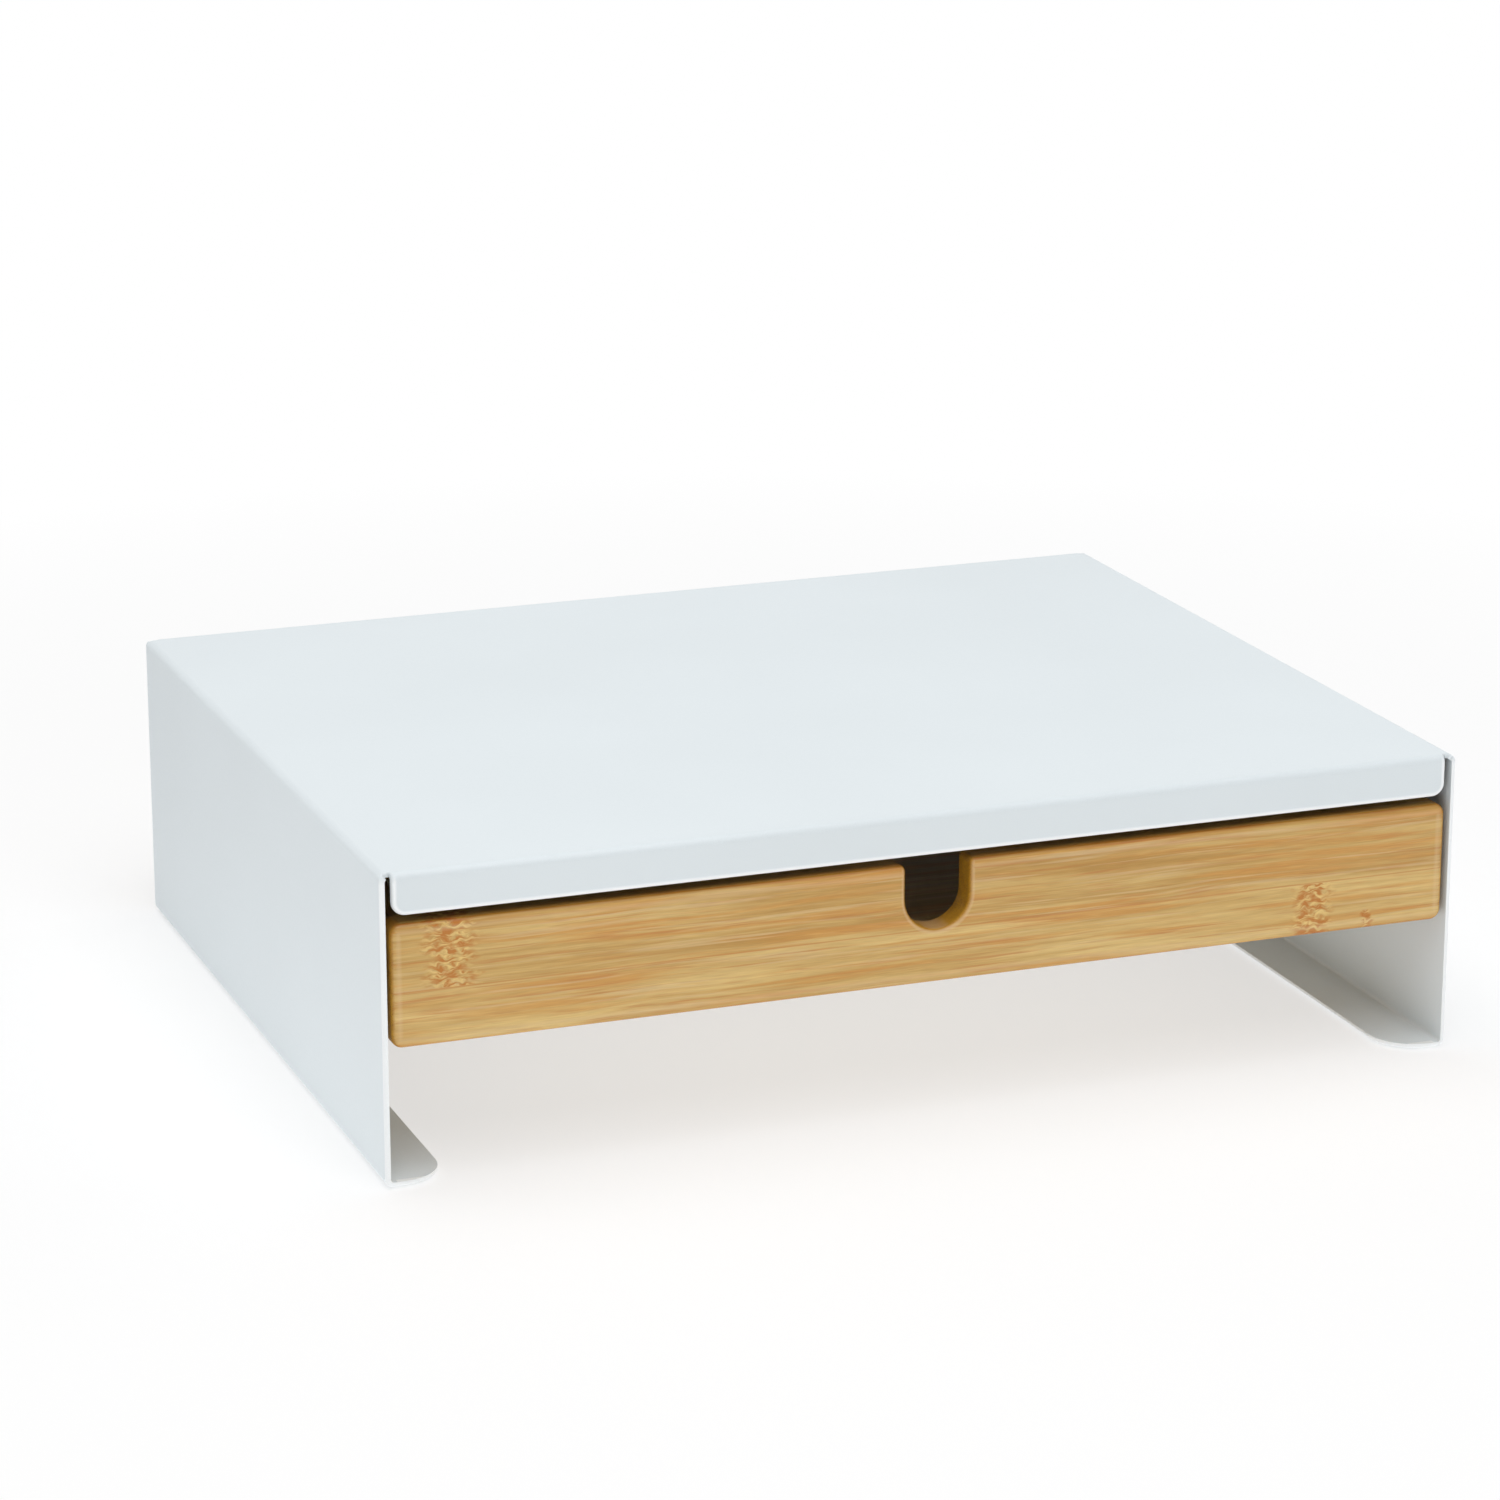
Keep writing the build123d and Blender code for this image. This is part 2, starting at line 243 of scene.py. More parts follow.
def shell_cells():
    """Cells of the three grids of shell_points, numbered as its points.

    The lips start at the top's joint rows, and share their points.
    """
    carries = shell_blank(0.0)[3]
    lip_count = np.count_nonzero(carries == on_lip)
    carries = np.concatenate((carries[:0:-1], carries))
    rows = 2 * half_row_count + 1
    cells = grid_cells(len(carries), rows)
    column, row = np.divmod(cells[:, 0], rows)
    within = (row > 0) & (row < rows - 2)
    beside = (carries[column] == on_side) & (carries[column + 1] == on_side)
    parts = [cells[within | beside]]
    lip_columns = 2 * lip_count - 1
    first = (len(carries) - lip_columns) // 2
    start = len(carries) * rows
    for joint_row in (1, rows - 2):
        joint_points = (first + np.arange(lip_columns)) * rows + joint_row
        lip_points = start + np.arange(lip_columns * lip_row_count)
        lip_points = lip_points.reshape(lip_columns, lip_row_count)
        numbers = np.column_stack((joint_points, lip_points)).ravel()
        lip = numbers[grid_cells(lip_columns, lip_row_count + 1)]
        parts.append(lip[:, ::-1] if joint_row == 1 else lip)
        start += lip_points.size
    return np.concatenate(parts)


def cut_edges(cells):
    """The edges that only one cell uses, each in the direction of its cell."""
    sides = np.concatenate([cells[:, [k, (k + 1) % 4]] for k in range(4)])
    _, first, count = np.unique(np.sort(sides, axis=1), axis=0, return_index=True, return_counts=True)
    return sides[first[count == 1]]


def bent_shell():
    """The whole bent sheet: an outer and an inner skin of the same grid, and a rounded rim between them.

    At each point of the cut edge the rim is a quarter ellipse. It leaves the outer face where the inset blank
    ends, and meets the inner face square at the edge of the full blank.
    """
    cells = shell_cells()
    used, numbers = np.unique(cells, return_inverse=True)
    cells = numbers.reshape(cells.shape)
    outer = shell_points(rim_reach, 0.0)[used]
    under = shell_points(rim_reach, -sheet)[used]
    inner = shell_points(0.0, -sheet)[used]
    edge = cut_edges(cells)
    rim, spots = np.unique(edge, return_inverse=True)
    start, end = spots.reshape(edge.shape).T
    rise = outer[rim] - under[rim]
    reach = inner[rim] - under[rim]
    rise_normal = rise / (rise ** 2).sum(1, keepdims=True)
    reach_normal = reach / (reach ** 2).sum(1, keepdims=True)

    points = [outer, inner]
    lines = [rim]
    turns = np.linspace(0.0, math.pi / 2, rim_steps + 1)
    for step, turn in enumerate(turns[1:-1]):
        points.append(under[rim] + rise * math.cos(turn) + reach * math.sin(turn))
        lines.append(2 * len(outer) + step * len(rim) + np.arange(len(rim)))
    lines.append(len(outer) + rim)
    normals = [rise_normal * math.cos(turn) + reach_normal * math.sin(turn) for turn in turns]
    rim_faces = np.concatenate([np.column_stack((upper[end], upper[start], lower[start], lower[end]))
                                for upper, lower in zip(lines[:-1], lines[1:])])
    rim_normals = np.concatenate([np.stack((one[end], one[start], two[start], two[end]), axis=1)
                                  for one, two in zip(normals[:-1], normals[1:])])

    back = cells[:, ::-1]
    facing = outer - under
    faces = np.concatenate((cells, len(outer) + back, rim_faces))
    corner_normals = np.concatenate((facing[cells], -facing[back], rim_normals))
    corner_normals /= np.linalg.norm(corner_normals, axis=-1, keepdims=True)
    # The rim faces take a second material with a painted highlight
    piece = new_piece("bent_sheet", np.concatenate(points), faces, "stand",
                      [powder_coat("powder_coat", "faces"), powder_coat("powder_coat_rim_highlight", "rim")])
    on_rim = np.zeros(len(faces), int)
    on_rim[2 * len(cells):] = 1
    piece.data.polygons.foreach_set("material_index", on_rim)
    piece.data.normals_split_custom_set(corner_normals.reshape(-1, 3).tolist())
    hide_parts("stand_shell")
    return piece


def node(tree, kind, inputs=None, **settings):
    """Adds a node, sets its options and feeds its inputs with values or other nodes' sockets."""
    made = tree.nodes.new(kind)
    for name, value in settings.items():
        setattr(made, name, value)
    for name, value in (inputs or {}).items():
        if isinstance(value, bpy.types.NodeSocket):
            tree.links.new(value, made.inputs[name])
        else:
            made.inputs[name].default_value = value
    return made


def calc(tree, operation, a, b=0.0, c=0.0):
    """A sum on numbers or sockets."""
    return node(tree, "ShaderNodeMath", {0: a, 1: b, 2: c}, operation=operation).outputs[0]


def product(tree, first, *others):
    """Multiplies numbers or sockets."""
    for other in others:
        first = calc(tree, "MULTIPLY", first, other)
    return first


def sum_of(tree, *terms):
    """Adds up (value, weight) terms."""
    total = None
    for value, weight in terms:
        term = product(tree, value, weight)
        total = term if total is None else calc(tree, "ADD", total, term)
    return total


def long_side(tree, a, b):
    """The long side of a right triangle whose short sides are a and b."""
    return calc(tree, "SQRT", calc(tree, "ADD", product(tree, a, a), product(tree, b, b)))


def parts_of(tree, vector):
    """The X, Y and Z of a vector."""
    return node(tree, "ShaderNodeSeparateXYZ", {0: vector}).outputs


def vector_of(tree, x, y, z):
    """A vector from its three parts."""
    return node(tree, "ShaderNodeCombineXYZ", {0: x, 1: y, 2: z}).outputs[0]


def blend_colour(tree, share, a, b, kind="MIX"):
    """Mixes two colours by a share."""
    return node(tree, "ShaderNodeMix", {0: share, 6: a, 7: b}, data_type="RGBA", blend_type=kind).outputs[2]


def shaded(tree, colour, shade):
    """A colour times one value."""
    grey = node(tree, "ShaderNodeCombineColor", {0: shade, 1: shade, 2: shade}).outputs[0]
    return blend_colour(tree, 1.0, colour, grey, "MULTIPLY")


def noise(tree, vector, detail=2.0, roughness=0.5):
    """Soft random values about 0.5, one bump to each unit of the vector."""
    return node(tree, "ShaderNodeTexNoise", {"Vector": vector, "Scale": 1.0, "Detail": detail,
                                             "Roughness": roughness}).outputs[0]


def dots(tree, vector):
    """Distance to the nearest of random dots, one dot to each unit of the vector."""
    return node(tree, "ShaderNodeTexVoronoi", {"Vector": vector, "Scale": 1.0}).outputs["Distance"]


def stretched(tree, vector, per_metre, shift=(0.0, 0.0, 0.0)):
    """The vector with each axis scaled to so many units per metre, and shifted."""
    return node(tree, "ShaderNodeMapping", {"Vector": vector, "Scale": per_metre,
                                            "Location": shift}).outputs[0]


def spread(tree, value, low, high, to_low=0.0, to_high=1.0):
    """Stretches a range of values to another, and holds it there."""
    return node(tree, "ShaderNodeMapRange", {0: value, 1: low, 2: high, 3: to_low, 4: to_high}).outputs[0]


def bumps(tree, height, strength, depth):
    """Normals of a surface whose height varies by so many metres."""
    return node(tree, "ShaderNodeBump", {"Height": height, "Strength": strength,
                                         "Distance": depth}).outputs[0]


def material_tree(name):
    """A new material with an empty node tree and its object coordinates."""
    material = bpy.data.materials.new(name)
    material.use_nodes = True
    tree = material.node_tree
    tree.nodes.clear()
    return material, tree, node(tree, "ShaderNodeTexCoord").outputs["Object"]


def surface(tree, inputs):
    """Ends a material in one principled surface."""
    shader = node(tree, "ShaderNodeBsdfPrincipled", inputs)
    output = node(tree, "ShaderNodeOutputMaterial")
    tree.links.new(shader.outputs[0], output.inputs[0])


# Powder coat, a painted highlight band along its cut edges, and bumps to a metre of its peel, grain and
# clouds
coat_colour = (0.738, 0.797, 0.824, 1.0)
rim_highlight_colour = (0.92, 0.95, 0.96, 1.0)
highlight_band_start = rim_reach + 0.0002
highlight_band_end = rim_reach + 0.0010
highlight_fade_start = shell_high.z - 0.0030
highlight_fade_end = shell_high.z - 0.0008
peel_scale = (830, 830, 830)
coat_grain_scale = (4000, 4000, 4000)
cloud_scale = (9, 9, 9)
peel_depth = 0.00003


def lip_highlight_share(tree, place):
    """Share of the painted highlight band along a lip's cut edge, by how far inside the lip's rounded outline
    a point lies.

    Within a corner's arc that is the arc's radius less the distance from its middle. Elsewhere it is the
    distance from the nearer straight edge. The band fades out towards the bend above.
    """
    x, y, z = parts_of(tree, place)
    wide = calc(tree, "ABSOLUTE", x)
    past_side = calc(tree, "SUBTRACT", wide, lip_half - lip_corner)
    past_low = calc(tree, "SUBTRACT", lip_low_z + lip_corner, z)
    within = calc(tree, "MINIMUM", calc(tree, "MAXIMUM", past_side, past_low), 0.0)
    reach = long_side(tree, calc(tree, "MAXIMUM", past_side, 0.0), calc(tree, "MAXIMUM", past_low, 0.0))
    inside = calc(tree, "SUBTRACT", lip_corner, calc(tree, "ADD", reach, within))
    band = spread(tree, inside, highlight_band_start, highlight_band_end, 1.0, 0.0)
    under_bend = spread(tree, z, highlight_fade_start, highlight_fade_end, 1.0, 0.0)
    on_face = calc(tree, "GREATER_THAN", calc(tree, "ABSOLUTE", y), half_depth - slot_width)
    on_lip_width = calc(tree, "LESS_THAN", wide, lip_half)
    return product(tree, band, under_bend, on_face, on_lip_width)


def powder_coat(name, part="plain"):
    """Fine matt powder coat: orange peel of about 1.2 mm, a finer grain, and a faint cloudiness.

    Along the cut edges a highlight is painted into the colour: on the rim faces, and on a band beside them on
    the lips.
    """
    material, tree, place = material_tree(name)
    colour = coat_colour
    if part == "faces":
        # Painted highlight: a whiter band beside the lips' cut edges
        colour = blend_colour(tree, lip_highlight_share(tree, place), coat_colour, rim_highlight_colour)
    if part == "rim":
        # Painted highlight on the rim faces, fading out towards the top
        up = parts_of(tree, place)["Z"]
        rim_highlight = spread(tree, up, shell_high.z - 0.0040, shell_high.z - 0.0012, 1.0, 0.15)
        colour = blend_colour(tree, rim_highlight, coat_colour, rim_highlight_colour)
    peel = noise(tree, stretched(tree, place, peel_scale), 1.0)
    grain = noise(tree, stretched(tree, place, coat_grain_scale), 1.0)
    cloud = noise(tree, stretched(tree, place, cloud_scale), 2.0)
    cloudy = spread(tree, cloud, 0.3, 0.7, 0.985, 1.01)
    grainy = spread(tree, grain, 0.3, 0.7, 0.965, 1.02)
    height = sum_of(tree, (peel, 1.0), (grain, 0.35))
    surface(tree, {"Base Color": shaded(tree, colour, product(tree, cloudy, grainy)),
                   "Roughness": spread(tree, peel, 0.3, 0.7, 0.40, 0.50),
                   "Normal": bumps(tree, height, 0.55, peel_depth)})
    return material


# Colours of the bamboo: fibres, knuckles, painted highlight lines, bare places, lacquer soak with painted
# shade, cut ends
bamboo_light = (0.695, 0.488, 0.178, 1.0)
bamboo_dark = (0.465, 0.250, 0.050, 1.0)
bamboo_pale = (0.800, 0.570, 0.200, 1.0)
bamboo_ash = (0.660, 0.465, 0.225, 1.0)
bamboo_orange = (0.580, 0.275, 0.052, 1.0)
bamboo_vein = (0.500, 0.185, 0.035, 1.0)
bamboo_fleck = (0.480, 0.165, 0.014, 1.0)
bamboo_highlight_line = (0.780, 0.580, 0.350, 1.0)
bamboo_bare = (0.745, 0.700, 0.615, 1.0)
bamboo_soak_and_shade = (0.760, 0.520, 0.080, 1.0)
bamboo_end = (0.400, 0.215, 0.060, 1.0)
bamboo_end_light = (0.540, 0.325, 0.110, 1.0)
bamboo_lacquered_end = (1.000, 0.860, 0.200, 1.0)
bamboo_pore = (0.150, 0.062, 0.016, 1.0)

# Bumps to a metre along, across and into the grain, from the broadest fibres to the finest
band_scale = (9, 120, 120)
broad_scale = (10, 380, 380)
streak_scale = (24, 1000, 1000)
fine_scale = (130, 2600, 2600)
sway_scale = (12, 45, 45)
stir_scale = (230, 330, 330)
ragged_scale = (40, 330, 330)
burl_scale = (230, 700, 700)
bundle_scale = (250, 1700, 1700)
speck_scale = (30, 42, 42)
fibre_depth = 0.00005

# How far the fibres sway, how far a knuckle stirs them, and how far its ends are ragged
sway_reach = 0.0030
stir_reach = 0.0050
ragged_reach = 0.014
# How far apart the patterns of two neighbouring strips are taken, and the share of the painted highlight
# lines' colour
strip_step = 5.3
highlight_line_share = 0.6

# Tinted fibres: bumps to a metre, shift and roughness, the value where they start and where they are full,
# their share there, and their colour
tinted_fibres = (
    ((9, 240, 240), (3, 5, 7), 0.55, 0.50, 0.64, 0.75, bamboo_orange),
    ((17, 620, 620), (11, 2, 5), 0.6, 0.58, 0.70, 0.60, bamboo_vein),
    ((12, 520, 520), (2, 9, 4), 0.6, 0.56, 0.68, 0.55, bamboo_ash),
    ((42, 820, 820), (7, 4, 2), 0.5, 0.57, 0.70, 0.28, bamboo_vein),
    ((42, 820, 820), (7, 4, 2), 0.5, 0.42, 0.30, 0.16, bamboo_pale),
)

# Knuckles: place along the grain, low and high end of the part of a strip that each fills, and half length.
# Each is full over its core, and its marks slant two ways.
board_low = drawer_front_low.z - 0.001
board_high = drawer_front_high.z + 0.001
knuckle_fade = 0.0006
knuckle_core = 0.45
knuckle_slants = ((0.55, (1, 2, 3)), (-0.55, (4, 5, 6)))
front_knuckles = ((-0.198, front_seam_z, board_high, 0.0120), (0.1625, board_low, front_seam_z, 0.0095),
                  (0.1870, board_low, 0.0640, 0.0030))
side_knuckles = ((0.06, front_seam_z, board_high, 0.011), (-0.05, board_low, front_seam_z, 0.010))
back_knuckles = ((0.08, front_seam_z, board_high, 0.011), (-0.11, board_low, front_seam_z, 0.010))


def knuckle_share(tree, plane, run, side, knuckles):
    """How far a point lies in a knuckle: 1 in its middle, and 0 past its ragged ends and its strip."""
    ragged = noise(tree, stretched(tree, plane, ragged_scale), 2.0)
    ragged = product(tree, calc(tree, "SUBTRACT", ragged, 0.5), ragged_reach)
    share = 0.0
    for centre, low, high, half in knuckles:
        off = calc(tree, "ABSOLUTE", calc(tree, "ADD", calc(tree, "SUBTRACT", run, centre), ragged))
        above = spread(tree, side, low, low + knuckle_fade)
        below = spread(tree, side, high - knuckle_fade, high, 1.0, 0.0)
        here = product(tree, spread(tree, off, knuckle_core * half, half, 1.0, 0.0), above, below)
        share = calc(tree, "MAXIMUM", share, here)
    return share


def knuckle_marks(tree, colour, share, run, side, wavy, layer):
    """Crossed slanting marks on a knuckle: pale where both slants are low, dark where either is high."""
    slants = []
    for slope, shift in knuckle_slants:
        slanting = vector_of(tree, sum_of(tree, (side, slope), (run, 1.0)), wavy, layer)
        slants.append(noise(tree, stretched(tree, slanting, burl_scale, shift), 2.0))
    burl = spread(tree, calc(tree, "MINIMUM", *slants), 0.32, 0.46, 0.80, 0.0)
    colour = blend_colour(tree, product(tree, burl, share), colour, bamboo_pale)
    fleck = spread(tree, calc(tree, "MAXIMUM", *slants), 0.49, 0.62, 0.0, 0.95)
    return blend_colour(tree, product(tree, fleck, share), colour, bamboo_fleck)


def front_board_highlight_lines(tree, run, side):
    """Share of the painted highlight lines on the front board: a little inside its outline, and along the
    finger notch.
    """
    to_end = calc(tree, "SUBTRACT", drawer_front_high.x, calc(tree, "ABSOLUTE", run))
    to_low = calc(tree, "SUBTRACT", side, drawer_front_low.z)
    to_top = calc(tree, "SUBTRACT", drawer_front_high.z, side)
    inside = calc(tree, "MINIMUM", to_end, calc(tree, "MINIMUM", to_low, to_top))
    off = calc(tree, "ABSOLUTE", calc(tree, "SUBTRACT", inside, highlight_line_inset))
    ring = spread(tree, off, 0.0002, 0.0014, 0.35, 0.0)
    fall = calc(tree, "MINIMUM", calc(tree, "SUBTRACT", side, notch_middle_z), 0.0)
    rim = spread(tree, long_side(tree, run, fall), notch_radius + 0.0008, notch_radius + 0.0021, 1.0, 0.0)
    return calc(tree, "MAXIMUM", ring, rim)


def bamboo(name, axes, seam, width, knuckles=(), calm=1.0, pale=0.0, front_board=False):
    """Pressed bamboo: strips with their own tint, long fibre streaks, and knuckles that stir the fibres.

    axes names the axis along the grain, across the strips and into them. Strips are counted from a seam.
    calm evens out the ground, and pale is the share of bare wood on faces that look down. Roundings and walls
    are darkened by lacquer soak and by painted shade, top faces half as much, and the cut ends show the
    bundles of the fibres.
    """
    material, tree, place = material_tree(name)
    places = parts_of(tree, place)
    run, side, deep = (places[axis] for axis in axes)
    from_seam = calc(tree, "SUBTRACT", side, seam)
    strip = calc(tree, "FLOOR", calc(tree, "DIVIDE", from_seam, width))
    chance = node(tree, "ShaderNodeTexWhiteNoise", {"W": strip}, noise_dimensions="1D").outputs[0]
    other = calc(tree, "PINGPONG", strip, 1.0)
    plane = vector_of(tree, run, side, deep)

    sway = calc(tree, "SUBTRACT", noise(tree, stretched(tree, plane, sway_scale), 1.0), 0.5)
    wavy = sum_of(tree, (side, 1.0), (sway, sway_reach))
    if knuckles:
        knuckle = knuckle_share(tree, plane, run, side, knuckles)
        stir = calc(tree, "SUBTRACT", noise(tree, stretched(tree, plane, stir_scale), 1.0), 0.5)
        wavy = sum_of(tree, (wavy, 1.0), (product(tree, stir, knuckle), stir_reach))
    layer = sum_of(tree, (deep, 1.0), (strip, strip_step))
    fibres = vector_of(tree, run, wavy, layer)
    band = noise(tree, stretched(tree, fibres, band_scale), 2.0)
    broad = noise(tree, stretched(tree, fibres, broad_scale), 2.0)
    streak = noise(tree, stretched(tree, fibres, streak_scale), 2.0, 0.6)
    fine = noise(tree, stretched(tree, fibres, fine_scale), 1.0)

    tone = sum_of(tree, (band, 0.46), (broad, 0.38), (streak, 0.16))
    tone = spread(tree, tone, 0.5 - 0.10 * calm, 0.5 + 0.10 * calm)
    tone = sum_of(tree, (tone, 0.72), (chance, 0.03), (other, 0.30))
    colour = blend_colour(tree, tone, bamboo_dark, bamboo_light)
    for scale, shift, roughness, start, full, share, tint in tinted_fibres:
        value = noise(tree, stretched(tree, fibres, scale, shift), 2.0, roughness)
        colour = blend_colour(tree, spread(tree, value, start, full, 0.0, share), colour, tint)
    colour = shaded(tree, colour, spread(tree, fine, 0.3, 0.7, 0.93, 1.05))
    if knuckles:
        colour = knuckle_marks(tree, colour, knuckle, run, side, wavy, layer)

    speck = spread(tree, dots(tree, stretched(tree, plane, speck_scale)), 0.010, 0.022, 0.7, 0.0)
    colour = blend_colour(tree, speck, colour, bamboo_pore)
    near_seam = calc(tree, "PINGPONG", from_seam, width)
    colour = blend_colour(tree, spread(tree, near_seam, 0.00008, 0.00045, 0.55, 0.0), colour, bamboo_vein)
    if front_board:
        # Painted highlight lines a little inside the front board's outline and round its notch
        lines = product(tree, front_board_highlight_lines(tree, run, side), highlight_line_share)
        colour = blend_colour(tree, lines, colour, bamboo_highlight_line)
    facing = parts_of(tree, node(tree, "ShaderNodeTexCoord").outputs["Normal"])
    along, across, into = (facing[axis] for axis in axes)
    if pale:
        below = spread(tree, facing["Z"], -0.9, -0.5, pale, 0.0)
        below = product(tree, below, spread(tree, tone, 0.1, 0.9, 0.84, 1.0))
        colour = blend_colour(tree, below, colour, bamboo_bare)
    # Lacquer soak and painted shade: darker on roundings, walls and ends, half as dark on top faces
    walls = spread(tree, calc(tree, "ABSOLUTE", into), 0.50, 0.97, 1.0, 0.0)
    soak_and_shade = product(tree, walls, spread(tree, across, 0.90, 0.99, 1.0, 0.5))
    colour = blend_colour(tree, soak_and_shade, colour, bamboo_soak_and_shade, "MULTIPLY")

    bundle = spread(tree, dots(tree, stretched(tree, plane, bundle_scale)), 0.20, 0.42, 0.75, 0.0)
    end_colour = blend_colour(tree, tone, bamboo_end, bamboo_end_light)
    end_colour = blend_colour(tree, bundle, end_colour, bamboo_pore)
    if front_board:
        end_colour = blend_colour(tree, 1.0, end_colour, bamboo_lacquered_end, "MULTIPLY")
    end = spread(tree, calc(tree, "ABSOLUTE", along), 0.35, 0.9, 0.0, 0.9)
    colour = blend_colour(tree, end, colour, end_colour)

    height = sum_of(tree, (fine, 0.5), (streak, 1.0))
    surface(tree, {"Base Color": colour, "Roughness": spread(tree, streak, 0.3, 0.7, 0.40, 0.54),
                   "Normal": bumps(tree, height, 0.5, fibre_depth),
                   "Coat Weight": 0.06, "Coat Roughness": 0.25})
    return material


# Small parts, and their wear: its colour, its share on an edge, and how far it reaches from one
rubber_colour = (0.035, 0.035, 0.037, 1.0)
silicone_colour = (0.62, 0.64, 0.65, 1.0)
beech_colour = (0.56, 0.40, 0.22, 1.0)
zinc_colour = (0.62, 0.62, 0.60, 1.0)
worn_colour = (0.80, 0.79, 0.77, 1.0)
worn_share = 0.35
worn_reach = 0.0004


def edge_share(tree, reach):
    """How near a sharp edge lies: 0 on a flat, 1 on the edge itself."""
    rounded = node(tree, "ShaderNodeBevel", {"Radius": reach}, samples=4).outputs[0]
    own = node(tree, "ShaderNodeNewGeometry").outputs["Normal"]
    facing = node(tree, "ShaderNodeVectorMath", {0: rounded, 1: own}, operation="DOT_PRODUCT")
    return spread(tree, facing.outputs["Value"], 0.78, 0.98, 1.0, 0.0)


def plain_finish(name, colour, roughness, grain, depth, metallic=0.0):
    """A small part's finish: one colour, grain in its tone, roughness and bump, and paler worn edges."""
    material, tree, place = material_tree(name)
    value = noise(tree, stretched(tree, place, (grain, grain, grain)), 2.0)
    tint = shaded(tree, colour, spread(tree, value, 0.3, 0.7, 0.88, 1.06))
    tint = blend_colour(tree, product(tree, edge_share(tree, worn_reach), worn_share), tint, worn_colour)
    surface(tree, {"Base Color": tint, "Metallic": metallic, "Normal": bumps(tree, value, 0.6, depth),
                   "Roughness": spread(tree, value, 0.3, 0.7, roughness - 0.05, roughness + 0.05)})
    return material


def dress(name, material):
    """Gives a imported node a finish."""
    mesh = nodes[name].data
    mesh.materials.clear()
    mesh.materials.append(material)


def dress_nodes():
    """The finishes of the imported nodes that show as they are."""
    front = bamboo("bamboo_front", "XZY", front_seam_z, strip_width, front_knuckles, front_board=True)
    dress("drawer_front", front)
    dress("drawer_back", bamboo("bamboo_back", "XZY", front_seam_z, strip_width, back_knuckles))
    dress("drawer_bottom", bamboo("bamboo_bottom", "XYZ", 0.0, bottom_strip_width, calm=1.5, pale=0.90))
    sides = bamboo("bamboo_side", "YZX", front_seam_z, strip_width, side_knuckles)
    coat = powder_coat("powder_coat_runner")
    rubber = plain_finish("pad_rubber", rubber_colour, roughness=0.75, grain=2500, depth=0.00004)
    silicone = plain_finish("silicone", silicone_colour, roughness=0.45, grain=900, depth=0.00001)
    beech = plain_finish("dowel_wood", beech_colour, roughness=0.65, grain=1800, depth=0.00003)
    zinc = plain_finish("zinc_steel", zinc_colour, roughness=0.34, grain=3000, depth=0.00001, metallic=1.0)
    for side in ("left", "right"):
        dress(f"drawer_side_{side}", sides)
        dress(f"runner_{side}", coat)
        dress(f"bumper_{side}", silicone)
        dress(f"stop_screw_{side}", zinc)
        for end in ("front", "rear"):
            dress(f"dowels_{end}_{side}", beech)
            dress(f"pad_{end}_{side}", rubber)
    dress("bottom_screws", zinc)


# Floor: its size, where it starts to run out to white and where it is white, its tone as it lights the stand
# and as the camera sees it, and the light it gives at the front and at the rear
floor_half = 8.0
white_from = 0.42
white_at = 0.95
floor_tone = 0.85
seen_floor_tone = 0.42
floor_glow = 0.42
rear_floor_glow = 0.3 * floor_glow
glow_front_y = -0.1
glow_rear_y = 0.35

# Light of the surroundings
surroundings = 0.28
white = (1.0, 1.0, 1.0, 1.0)

# Soft lights: place, side of the square and watts
soft_lights = {
    "top_light": ((-0.3, 0.2, 2.4), 2.0, 24.0),
    "front_light": ((-0.2, -1.3, 2.2), 1.8, 24.0),
    "left_light": ((-2.0, 1.3, 0.7), 1.6, 6.0),
    "right_light": ((2.1, 0.3, 0.9), 1.6, 8.0),
}
light_target = (0.0, 0.0, 0.08)


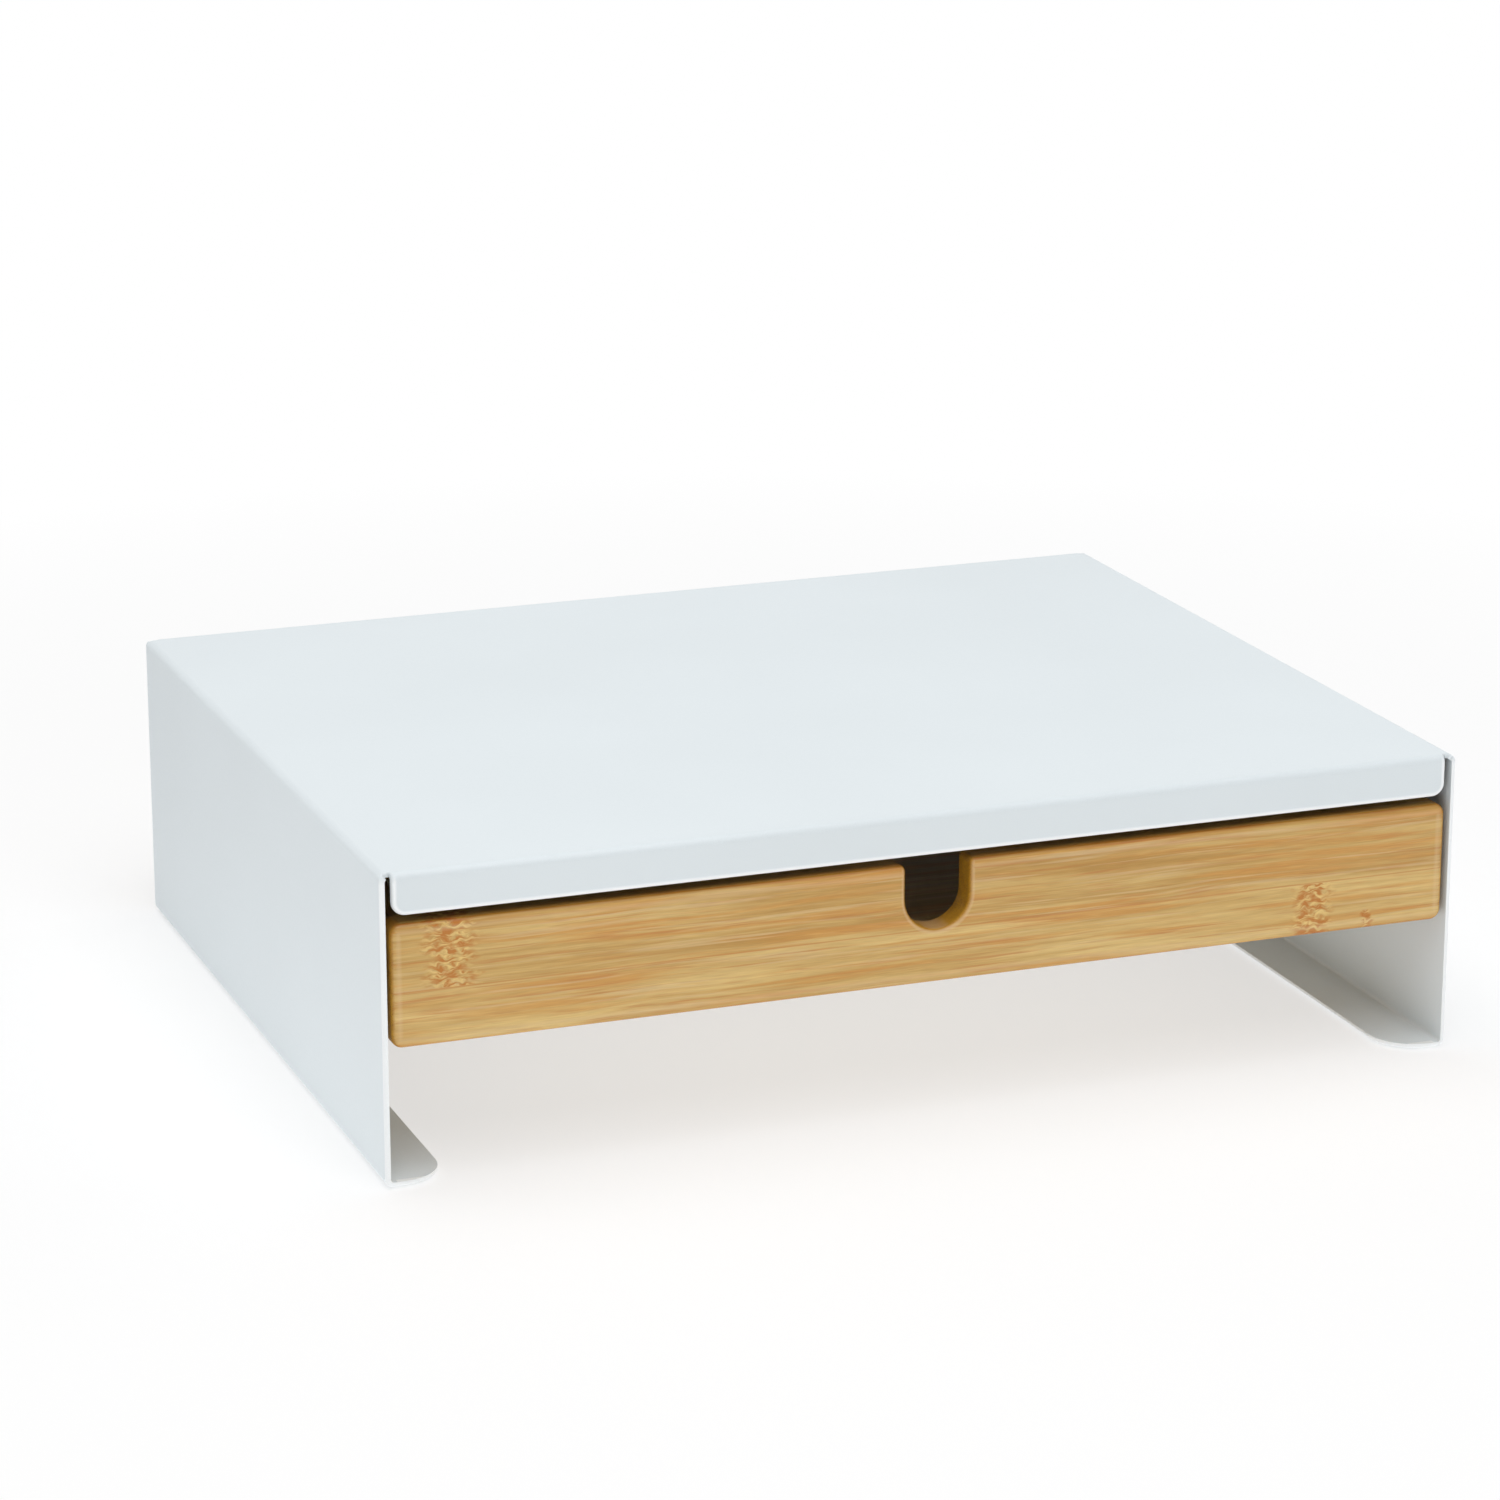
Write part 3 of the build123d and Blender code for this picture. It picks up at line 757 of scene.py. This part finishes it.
def white_floor():
    """A pale floor that keeps the soft shadow, and runs out to white round the stand."""
    mesh = bpy.data.meshes.new("floor")
    corners = [(floor_half * x, floor_half * y, 0.0) for x, y in ((-1, -1), (1, -1), (1, 1), (-1, 1))]
    mesh.from_pydata(corners, [], [(0, 1, 2, 3)])
    floor = bpy.data.objects.new("floor", mesh)
    bpy.context.scene.collection.objects.link(floor)
    material, tree, place = material_tree("floor_white")
    distance = node(tree, "ShaderNodeVectorMath", {0: place}, operation="LENGTH").outputs["Value"]
    far = spread(tree, distance, white_from, white_at)
    seen = node(tree, "ShaderNodeLightPath").outputs["Is Camera Ray"]
    tone = spread(tree, seen, 0.0, 1.0, floor_tone, seen_floor_tone)
    diffuse = node(tree, "ShaderNodeBsdfDiffuse", {"Color": shaded(tree, white, tone)}).outputs[0]
    back = parts_of(tree, place)["Y"]
    glow = spread(tree, back, glow_front_y, glow_rear_y, floor_glow, rear_floor_glow)
    glow = spread(tree, seen, 0.0, 1.0, glow, 1.0 - seen_floor_tone)
    lift = node(tree, "ShaderNodeEmission", {"Strength": glow}).outputs[0]
    lifted = node(tree, "ShaderNodeAddShader", {0: diffuse, 1: lift}).outputs[0]
    plain_white = node(tree, "ShaderNodeEmission", {"Color": white, "Strength": 1.0}).outputs[0]
    mixed = node(tree, "ShaderNodeMixShader", {0: product(tree, far, seen), 1: lifted, 2: plain_white})
    output = node(tree, "ShaderNodeOutputMaterial")
    tree.links.new(mixed.outputs[0], output.inputs[0])
    mesh.materials.append(material)


def studio():
    """White surroundings that light the stand evenly, and square soft lights that point at it."""
    world = bpy.data.worlds.new("studio")
    bpy.context.scene.world = world
    world.use_nodes = True
    tree = world.node_tree
    tree.nodes.clear()
    rays = node(tree, "ShaderNodeLightPath").outputs
    seen = calc(tree, "MAXIMUM", rays["Is Camera Ray"],
                calc(tree, "MAXIMUM", rays["Is Glossy Ray"], rays["Is Transmission Ray"]))
    strength = spread(tree, seen, 0.0, 1.0, surroundings, 1.0)
    background = node(tree, "ShaderNodeBackground", {"Color": white, "Strength": strength})
    output = node(tree, "ShaderNodeOutputWorld")
    tree.links.new(background.outputs[0], output.inputs[0])
    for name, (place, size, watts) in soft_lights.items():
        light = bpy.data.lights.new(name, "AREA")
        light.size = size
        light.energy = watts
        lamp = bpy.data.objects.new(name, light)
        lamp.location = place
        lamp.rotation_euler = (Vector(light_target) - Vector(place)).to_track_quat("-Z", "Y").to_euler()
        bpy.context.scene.collection.objects.link(lamp)


def photo_camera():
    """The camera at the photograph's place and angle."""
    data = bpy.data.cameras.new("camera")
    data.sensor_width = sensor_width
    data.lens = camera_focal_pixels / photo_pixels * sensor_width
    camera = bpy.data.objects.new("camera", data)
    camera.location = camera_place
    camera.rotation_euler = (math.pi / 2 - camera_pitch, 0.0, -camera_yaw)
    bpy.context.scene.collection.objects.link(camera)
    bpy.context.scene.camera = camera
    bpy.context.scene.view_settings.view_transform = "Standard"


bent_shell()
dress_nodes()
white_floor()
studio()
photo_camera()
